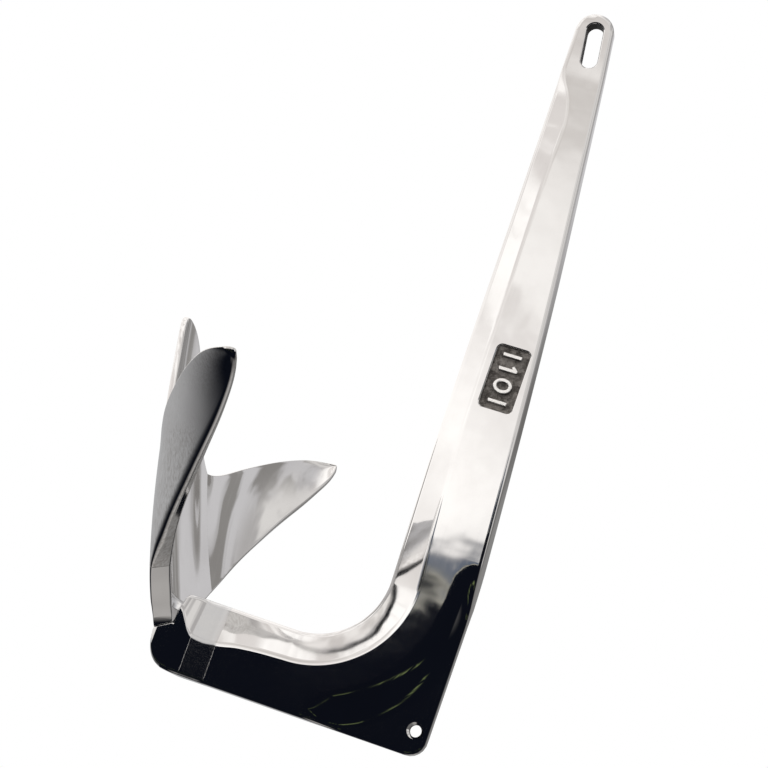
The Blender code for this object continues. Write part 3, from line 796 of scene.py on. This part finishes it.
ONE_WIDE = 5.6
ZERO_WIDE = 12.0
bar_outline = ((0, 0), (MARK_STROKE, 0), (MARK_STROKE, MARK_TALL), (0, MARK_TALL))
one_outline = ((ONE_WIDE - MARK_STROKE, 0), (ONE_WIDE, 0), (ONE_WIDE, MARK_TALL), (3.0, MARK_TALL), (0, 11.4),
               (1.5, 9.6), (ONE_WIDE - MARK_STROKE, 10.6))
figures = (("upper_bar_figure", "mark_upper_bar", MARK_STROKE, [bar_outline]),
           ("one_figure", "mark_1", ONE_WIDE, [one_outline]),
           ("zero_figure", "mark_0", ZERO_WIDE, [zero_outline(0.0, 1), zero_outline(MARK_STROKE, -1)]),
           ("lower_bar_figure", "mark_lower_bar", MARK_STROKE, [bar_outline]))
space = (MARK_LONG - sum(wide for _, _, wide, _ in figures)) / (len(figures) - 1)
reading = Matrix(((0, 1, 0), (0, 0, -1), (-1, 0, 0))).to_4x4()
at_z = RECESS_Z + 0.5 * MARK_LONG
for name, node, wide, loops in figures:
    curve = bpy.data.curves.new(name, "CURVE")
    curve.dimensions = "2D"
    curve.fill_mode = "BOTH"
    curve.extrude = (0.5 * MARK_DEEP - MARK_SOFT) * MM
    curve.bevel_depth = MARK_SOFT * MM
    curve.offset = -MARK_SOFT * MM
    curve.bevel_resolution = 4
    for loop in loops:
        line = curve.splines.new("POLY")
        line.points.add(len(loop) - 1)
        for point, (x, y) in zip(line.points, loop):
            point.co = (x * MM, (y - 0.5 * MARK_TALL) * MM, 0.0, 1.0)
        line.use_cyclic_u = True
    outline = new_object(name + "_outline", curve)
    bpy.context.view_layer.update()
    graph = bpy.context.evaluated_depsgraph_get()
    data = bpy.data.meshes.new_from_object(outline.evaluated_get(graph))
    bpy.data.objects.remove(outline, do_unlink=True)
    middle = Vector((RECESS_X, RECESS_FLOOR - MARK_GAP - 0.5 * MARK_DEEP, at_z))
    data.transform(Matrix.Translation(middle * MM) @ reading)
    mesh = bmesh.new()
    mesh.from_mesh(data)
    bmesh.ops.remove_doubles(mesh, verts=mesh.verts, dist=0.000001)
    bmesh.ops.recalc_face_normals(mesh, faces=mesh.faces)
    mesh.to_mesh(data)
    mesh.free()
    data.materials.clear()
    figure = settle(new_object(name, data), 40.0)
    figure.data.materials.append(mark_steel)
    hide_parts(node)
    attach(figure, "root")
    at_z -= wide + space

# ---------------------------------------------------------------- claw
# Three cast palms make one scoop: a hollow middle palm and two curved side
# palms that sweep out to rounded tips.  Their rims are rounded by grinding,
# and the seams between them are closed and polished nearly out of sight.
# A rim is a row of (y, x, z) points, from the middle out to one tip.
TOP_RIM = ((0, -231, -298), (12, -228.5, -301.5), (24, -223.5, -312), (36, -215, -339), (45, -207, -367),
           (52, -199, -391), (61, -192.5, -403), (75, -191, -402), (92, -187.5, -396), (112, -184, -386.5),
           (134, -176.5, -375), (155, -168, -364), (173, -158, -355), (187, -147, -348.5),
           (191, -129, -346.4))
REAR_RIM = ((0, -155, -532), (11, -154.5, -531), (22, -153.5, -527), (34, -154, -516), (45, -155.5, -506),
            (54, -156, -499), (64, -156, -491.5), (78, -155, -479), (94, -153, -460), (112, -147, -437),
            (130, -140.5, -413), (149, -133, -392), (166, -128, -373), (180, -125, -359.5),
            (189.5, -126.6, -347.8))
SEAM = 6                       # the rung where the middle palm meets a side palm
BULGE_MIDDLE = 8.0
BULGE_TIP = 2.0
BULGE_FADES = 0.4              # share of the way out by which the bulge is down to that
BULGE_TURNS = 70.0             # distance from the middle by which it points fully aside
THICK_TOP = ((0, 4.5), (61, 4.5), (195, 3.0))
THICK_REAR = ((0, 13.5), (22, 14.0), (40, 16.0), (64, 16.0), (94, 12.5), (130, 8.5), (166, 5.0),
              (190, 3.2))
RIM_ROUND = 1.7
REAR_ROUND = ((0, 0.4), (20, 0.4), (34, 2.0))
BACK_ROUND = ((0, 0.4), (20, 0.4), (36, 1.6), (56, 1.8), (64, 2.4), (74, 4.5), (88, 8.5), (130, 7.5),
              (166, 4.5), (190, 2.5))
TIP_LONG = 1.5                 # the end of a side palm that is rounded over
TIP_CLEAR = 0.05               # rungs left free before that end
TIP_STEPS = 10
TIP_TURN = 86.0
RINGS_PER_RUNG = 9
RUNG_CELLS = 44                # faces from the top rim to the rear one
SEAM_GAP = 0.02


def fair(points, at):
    """A fair curve (uniform cubic B-spline) led by the points, through the first and the last."""
    last = len(points) - 1
    at = min(max(at, 0.0), float(last))
    n = min(int(at), last - 1)
    t = at - n
    padded = [points[0] * 2 - points[1]] + list(points) + [points[-1] * 2 - points[-2]]
    a, b, c, d = padded[n:n + 4]
    return (a * (1 - t) ** 3 + b * (3 * t ** 3 - 6 * t * t + 4)
            + c * (-3 * t ** 3 + 3 * t * t + 3 * t + 1) + d * t ** 3) / 6


def palm_point(top, rear, at, t):
    """A point of a palm's hollow face: at counts along its rims, t runs from the top to the rear one."""
    upper, lower = fair(top, at), fair(rear, at)
    out = abs(upper.y) / TOP_RIM[-1][0]
    bow = blend(BULGE_MIDDLE, BULGE_TIP, ease(out / BULGE_FADES))
    point = upper.lerp(lower, t)
    aside = math.sin(0.5 * math.pi * max(min(point.y / BULGE_TURNS, 1.0), -1.0))
    push = Vector((-0.8, 0.6 * aside, -0.3)).normalized()
    return point + push * bow * 4.0 * t * (1.0 - t)


def palm_pair(top, rear, at, t):
    """That point and the one behind it on the palm's back."""
    nudge = 0.02
    low, high = max(at - nudge, 0.0), min(at + nudge, len(top) - 1.0)
    side = palm_point(top, rear, high, t) - palm_point(top, rear, low, t)
    down = palm_point(top, rear, at, min(t + nudge, 1.0)) - palm_point(top, rear, at, max(t - nudge, 0.0))
    point = palm_point(top, rear, at, t)
    thick_top = along(THICK_TOP, abs(fair(top, at).y))
    thick_rear = along(THICK_REAR, abs(fair(rear, at).y))
    thick = blend(thick_top, thick_rear, t ** 1.3)
    return point, point + side.cross(down).normalized() * thick


def soften(ends, before, after, radius, steps=6, most=0.5):
    """A rounded corner at ends, between a point before it and one after it."""
    pull = 0.45
    arms = []
    for other, share in ((before, 1.0), (after, most)):
        arm = other - ends
        arms.append(arm.normalized() * min(radius, share * arm.length))
    points = []
    for step in range(steps + 1):
        t = step / steps
        points.append(ends + arms[0] * ((1 - t) ** 3 + 3 * t * (1 - t) ** 2 * pull)
                      + arms[1] * (t ** 3 + 3 * t * t * (1 - t) * pull))
    return points


def palm_ring(top, rear, at, shrink):
    """A closed section through a palm, both of its rims rounded, shrunk towards its middle at a tip."""
    pairs = [palm_pair(top, rear, at, n / 8) for n in range(9)]
    long = sum((b[0] - a[0]).length for a, b in zip(pairs, pairs[1:]))
    (top_front, top_back), (rear_front, rear_back) = pairs[0], pairs[-1]
    top_round = min(RIM_ROUND, 0.3 * long)
    rear_round = min(along(REAR_ROUND, abs(rear_front.y)), 0.3 * long)
    back_round = min(along(BACK_ROUND, abs(rear_front.y)), 0.4 * long)
    top_cut = min(top_round, 0.5 * (top_back - top_front).length) / long
    rear_cut = min(rear_round, 0.5 * (rear_back - rear_front).length) / long
    front, back = [], []
    for n in range(RUNG_CELLS + 1):
        front.append(palm_pair(top, rear, at, blend(top_cut, 1.0 - rear_cut, n / RUNG_CELLS))[0])
        back.append(palm_pair(top, rear, at, blend(top_cut, 1.0 - back_round / long, n / RUNG_CELLS))[1])
    top_mid, rear_mid = (top_front + top_back) / 2, (rear_front + rear_back) / 2
    front = ([top_mid] + soften(top_front, top_mid, front[0], top_round) + front[1:-1]
             + soften(rear_front, front[-1], rear_mid, rear_round) + [rear_mid])
    back = (soften(top_back, top_mid, back[0], top_round) + back[1:-1]
            + soften(rear_back, back[-1], rear_mid, back_round, 10, 0.95))
    points = front + back[::-1]
    if shrink < 1.0:
        heart = (top_mid + rear_mid) / 2
        points = [heart + (point - heart) * shrink for point in points]
    return points


def rim(table, side):
    """The part of a rim that a side palm (1) or the middle palm (0) has."""
    if side == 0:
        return ([Vector((x, -y, z)) for y, x, z in reversed(table[1:SEAM + 1])]
                + [Vector((x, y, z)) for y, x, z in table[:SEAM + 1]])
    return [Vector((x, y, z)) for y, x, z in table[SEAM:]]


def palm_places(top, side):
    """Where a palm's sections are, and how far each is shrunk: a side palm's last ones round its tip."""
    count = len(top) - 1
    places = [(n / RINGS_PER_RUNG, 1.0) for n in range(count * RINGS_PER_RUNG + 1)]
    if side == 0:
        return places
    tries = [n * count / 1000 for n in range(1000)]
    tip = next(at for at in tries if fair(top, at).y > TOP_RIM[-1][0] - TIP_LONG)
    places = [place for place in places if place[0] < tip - TIP_CLEAR]
    for step in range(TIP_STEPS + 1):
        turn = math.radians(TIP_TURN * step / TIP_STEPS)
        places.append((blend(tip, count, math.sin(turn)), math.cos(turn)))
    return places


def palm(name, side):
    """One palm; side is -1 for the left one, 0 for the middle one and 1 for the right one."""
    top, rear = rim(TOP_RIM, abs(side)), rim(REAR_RIM, abs(side))
    rings = [palm_ring(top, rear, at, shrink) for at, shrink in palm_places(top, side)]
    if side == -1:
        rings = [[Vector((x, -y, z)) for x, y, z in points] for points in rings]
    seams = ((0, 1), (-1, -2)) if side == 0 else ((0, 1),)
    for end, towards in seams:
        pairs = zip(rings[end], rings[towards])
        rings[end] = [here + (there - here).normalized() * SEAM_GAP for here, there in pairs]
    return settle(loft(name, rings))


palm_steel = polished("polished_palm_steel", (1.0, 1.0, 0.07), 0.05, 0.7)
brushed_steel = polished("brushed_palm_steel", (1.0, 1.0, 0.04), 0.08, 0.8, 0.5)
for name, node, side, steel in (("middle_palm", "centre_palm", 0, palm_steel),
                                ("near_palm", "left_palm", -1, brushed_steel),
                                ("far_palm", "right_palm", 1, palm_steel)):
    piece = palm(name, side)
    piece.data.materials.append(steel)
    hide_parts(node)
    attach(piece, "root")

# ---------------------------------------------------------------- crown
# The crown casting joins the shank's lower limb to the scoop.  Its top falls
# to the palms in a hollow, and its lower corner is rounded.  A station is an
# (x, top, bottom, half width of the top, bevel, half width of the sides) row.
CROWN_STATIONS = ((-127.0, -502.0, -563.0, 4.9, 31.0, 14.0), (-137.0, -502.0, -563.0, 6.0, 30.0, 16.6),
                  (-141.0, -502.0, -563.0, 7.5, 26.5, 17.8), (-145.0, -502.2, -562.9, 9.5, 20.0, 18.8),
                  (-148.5, -502.6, -562.5, 11.0, 14.0, 19.3), (-150.6, -503.4, -562.2, 12.2, 11.0, 19.5),
                  (-151.5, -504.8, -562.0, 12.8, 9.0, 19.6), (-151.9, -507.0, -561.9, 13.2, 8.0, 19.6))
FOOT_BOTTOM = ((-152.0, -561.8), (-156.5, -559.6), (-160.5, -556.0), (-163.6, -550.8), (-165.7, -544.5),
               (-166.6, -539.5))
FOOT_HALF = ((-152.0, 19.6), (-163.0, 19.3), (-165.7, 18.4), (-166.6, 17.0))
CROWN_FRONT, CROWN_BACK = -137.0, -151.9
FOOT_FRONT, FOOT_BACK = -152.0, -166.6
FOOT_GAP = 0.05
FOOT_CORNER = 0.4
FOOT_BLEND = 9.0               # how deep below its top the foot follows the palm's curved rim
CROWN_RINGS = 25


def block_section(tall, nose, bevel, half, ridge):
    """Half a section of the crown or of its weld, from the middle of the top to that of the bottom."""
    return rounded(((0.0, 0.0, 0, 0), (0.0, nose, LIMB_NOSE_ROUND, 8), (bevel, half, ridge, 5),
                    (blend(bevel, tall, 0.5), half, 1.0, 4), (tall, half, EDGE_ROUND, 7), (tall, 0.0, 0, 0)))


def limb_ring(x, top, bottom, nose, bevel, half):
    return ring((x, top), (0.0, -1.0), block_section(top - bottom, nose, bevel, half, RIDGE_ROUND))


def station_rings(stations, places):
    columns = [[(station[0], station[k]) for station in stations] for k in range(1, 6)]
    return [limb_ring(x, *(along(column, x) for column in columns)) for x in places]


rim_top, rim_rear = rim(TOP_RIM, 0), rim(REAR_RIM, 0)


def under_palm(x, y):
    """Height of the middle palm's rear rim face at one place."""
    table = []
    for n in range(9):
        face, behind = palm_pair(rim_top, rim_rear, SEAM + 0.3 * n, 1.0)
        point = face.lerp(behind, min(max((x - face.x) / (behind.x - face.x), 0.0), 1.0))
        table.append((point.y, point.z))
    return along(table, y)


def foot_ring(x):
    """A section of the crown's foot, its top fitted to the palm that stands on it."""
    top, bottom, half = under_palm(x, 0.0) - FOOT_GAP, along(FOOT_BOTTOM, x), along(FOOT_HALF, x)
    section = []
    for w, h in block_section(top - bottom, half - FOOT_CORNER, FOOT_CORNER, half, FOOT_CORNER):
        lift = under_palm(x, h) - FOOT_GAP - top
        section.append((w - lift * max(1.0 - w / FOOT_BLEND, 0.0), h))
    return ring((x, top), (0.0, -1.0), section)


def spread(first, last, count):
    """A number of places spread evenly from the first to the last."""
    return [blend(first, last, n / (count - 1)) for n in range(count)]


crown_rings = station_rings(CROWN_STATIONS, spread(CROWN_FRONT, CROWN_BACK, CROWN_RINGS))
foot_rings = [foot_ring(x) for x in spread(FOOT_FRONT, FOOT_BACK, CROWN_RINGS)]
crown = settle(loft("crown_block", crown_rings + foot_rings))
crown.data.materials.append(bar_steel)
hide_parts("crown")
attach(crown, "root")

# ---------------------------------------------------------------- crown weld
# The weld band between shank and crown, dressed flush with a flap wheel, so
# it is duller than the castings on both sides and shows its grinding lines.
WELD_STATIONS = ((-100.0, -502.0, -563.0, 4.2, 26.0, 12.0), (-118.0, -502.0, -563.0, 4.2, 29.5, 12.0),
                 (-127.0, -502.0, -563.0, 4.9, 31.0, 14.0), (-137.0, -502.0, -563.0, 6.0, 30.0, 16.6),
                 (-141.0, -502.0, -563.0, 7.5, 26.5, 17.8))
WELD_FRONT, WELD_BACK = -118.05, -136.95
WELD_RINGS = 13
WELD_BLUED = (0.66, 0.67, 0.70, 1.0)
WELD_BRIGHT = (0.80, 0.79, 0.77, 1.0)

weld_rings = station_rings(WELD_STATIONS, spread(WELD_FRONT, WELD_BACK, WELD_RINGS))
weld = settle(loft("crown_weld_band", weld_rings))
weld_steel, shader, place = principled("dressed_weld_steel", {"Metallic": 1.0})
lines = place.noise(700.0, 3.0, 0.7, (0.05, 1.0, 1.0))
heat = place.noise(60.0, 3.0, 0.6)
feed(shader, "Base Color", heat.tint(WELD_BLUED, WELD_BRIGHT))
feed(shader, "Roughness", 0.07 + 0.07 * lines + 0.03 * heat)
feed(shader, "Normal", relief(lines * 0.000006 + heat * 0.0001))
weld.data.materials.append(weld_steel)
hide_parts("crown_weld")
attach(weld, "root")

# ---------------------------------------------------------------- throat weld
# A fillet of weld fills the throat between the crown's end and the hollow
# face of the middle palm; it is ground hollow and highest in the middle.
THROAT_REACH = 1.72            # rungs of the palm to either side of the middle
THROAT_FOOT = 0.998            # shares of the palm's depth between which the weld lies on it
THROAT_HEAD = 0.88
THROAT_HEAD_SIDE = 0.94
THROAT_GAP = Vector((0.05, 0.0, 0.0))
THROAT_FRONT_X = -152.05
THROAT_FRONT_Z = -509.5
THROAT_DROP = 8.0
THROAT_SAG = 1.2

throat_rings = []
for side in spread(-1.0, 1.0, 25):
    head = blend(THROAT_HEAD, THROAT_HEAD_SIDE, side ** 2)
    at = SEAM + THROAT_REACH * side
    palm_side = [palm_point(rim_top, rim_rear, at, t) + THROAT_GAP for t in spread(THROAT_FOOT, head, 7)]
    high, low = palm_side[-1], palm_side[0]
    front = Vector((THROAT_FRONT_X, low.y, THROAT_FRONT_Z - THROAT_DROP * side ** 2))
    hollow = [high.lerp(front, t) - Vector((0.0, 0.0, THROAT_SAG * 4.0 * t * (1.0 - t)))
              for t in spread(0.0, 1.0, 9)[1:-1]]
    crown_side = [Vector((THROAT_FRONT_X, low.y, z)) for z in spread(front.z, low.z, 8)]
    throat_rings.append(palm_side + hollow + crown_side)
throat = settle(loft("throat_weld_fillet", throat_rings))
throat.data.materials.append(weld_steel)
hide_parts("throat_weld")
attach(throat, "root")

# ---------------------------------------------------------------- fusion lines
# Where the dressed weld meets the castings a fine line of ripples is left, a
# row of small beads of steel that the flap wheel takes nearly flush.
RIPPLE_RADIUS = 0.55
RIPPLE_PROUD = 0.10
RIPPLE_COUNT = 230
RIPPLE_SMALLEST = (0.75, 0.9, 0.9)
RIPPLE_LARGEST = (1.05, 1.05, 1.05)
SHANK_LINE_X, CROWN_LINE_X = -118.03, -136.98

ripple_tree, given, result = node_group("ripple_line", {
    "Ripples": ("Int", 100), "Ripple radius": ("Float", 0.001), "Seed": ("Int", 5),
    "Material": ("Material", None)})
path = step_node(ripple_tree, "GeometryNodeMeshToCurve", {}, {"Mesh": given.outputs["Geometry"]})
beads = step_node(ripple_tree, "GeometryNodeCurveToPoints", {"mode": "COUNT"}, {
    "Curve": path.outputs["Curve"], "Count": given.outputs["Ripples"]})
bead = step_node(ripple_tree, "GeometryNodeMeshIcoSphere", {}, {
    "Radius": given.outputs["Ripple radius"], "Subdivisions": 2})
size = step_node(ripple_tree, "FunctionNodeRandomValue", {"data_type": "FLOAT_VECTOR"}, {
    0: RIPPLE_SMALLEST, 1: RIPPLE_LARGEST, "Seed": given.outputs["Seed"]})
chain = step_node(ripple_tree, "GeometryNodeInstanceOnPoints", {}, {
    "Points": beads.outputs["Points"], "Instance": bead.outputs["Mesh"],
    "Rotation": beads.outputs["Rotation"], "Scale": size.outputs[0]})
real = step_node(ripple_tree, "GeometryNodeRealizeInstances", {}, {"Geometry": chain.outputs["Instances"]})
smooth = step_node(ripple_tree, "GeometryNodeSetShadeSmooth", {}, {"Geometry": real.outputs["Geometry"]})
paint = step_node(ripple_tree, "GeometryNodeSetMaterial", {}, {
    "Geometry": smooth.outputs["Geometry"], "Material": given.outputs["Material"]})
ripple_tree.links.new(paint.outputs["Geometry"], result.inputs["Geometry"])

for name, x, seed in (("shank_fusion_line", SHANK_LINE_X, 5), ("crown_fusion_line", CROWN_LINE_X, 9)):
    nose, bevel, half = (along([(station[0], station[k]) for station in WELD_STATIONS], x) for k in (3, 4, 5))
    inside = RIPPLE_RADIUS - RIPPLE_PROUD
    low_edge = SOLE + RIPPLE_RADIUS * RIPPLE_LARGEST[2]
    outline = limb_ring(x, LIMB_TOP - inside, low_edge, nose - inside, bevel, half - inside)
    mesh = bmesh.new()
    corners = [mesh.verts.new(point * MM) for point in outline]
    for first, second in zip(corners, corners[1:] + corners[:1]):
        mesh.edges.new((first, second))
    bmesh.ops.remove_doubles(mesh, verts=mesh.verts, dist=0.00002)
    data = bpy.data.meshes.new(name)
    mesh.to_mesh(data)
    mesh.free()
    line = run_tree(new_object(name, data), ripple_tree, {
        "Ripples": RIPPLE_COUNT, "Ripple radius": RIPPLE_RADIUS * MM, "Seed": seed, "Material": bar_steel})
    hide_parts("crown_weld")
    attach(line, "root")

low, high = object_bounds()
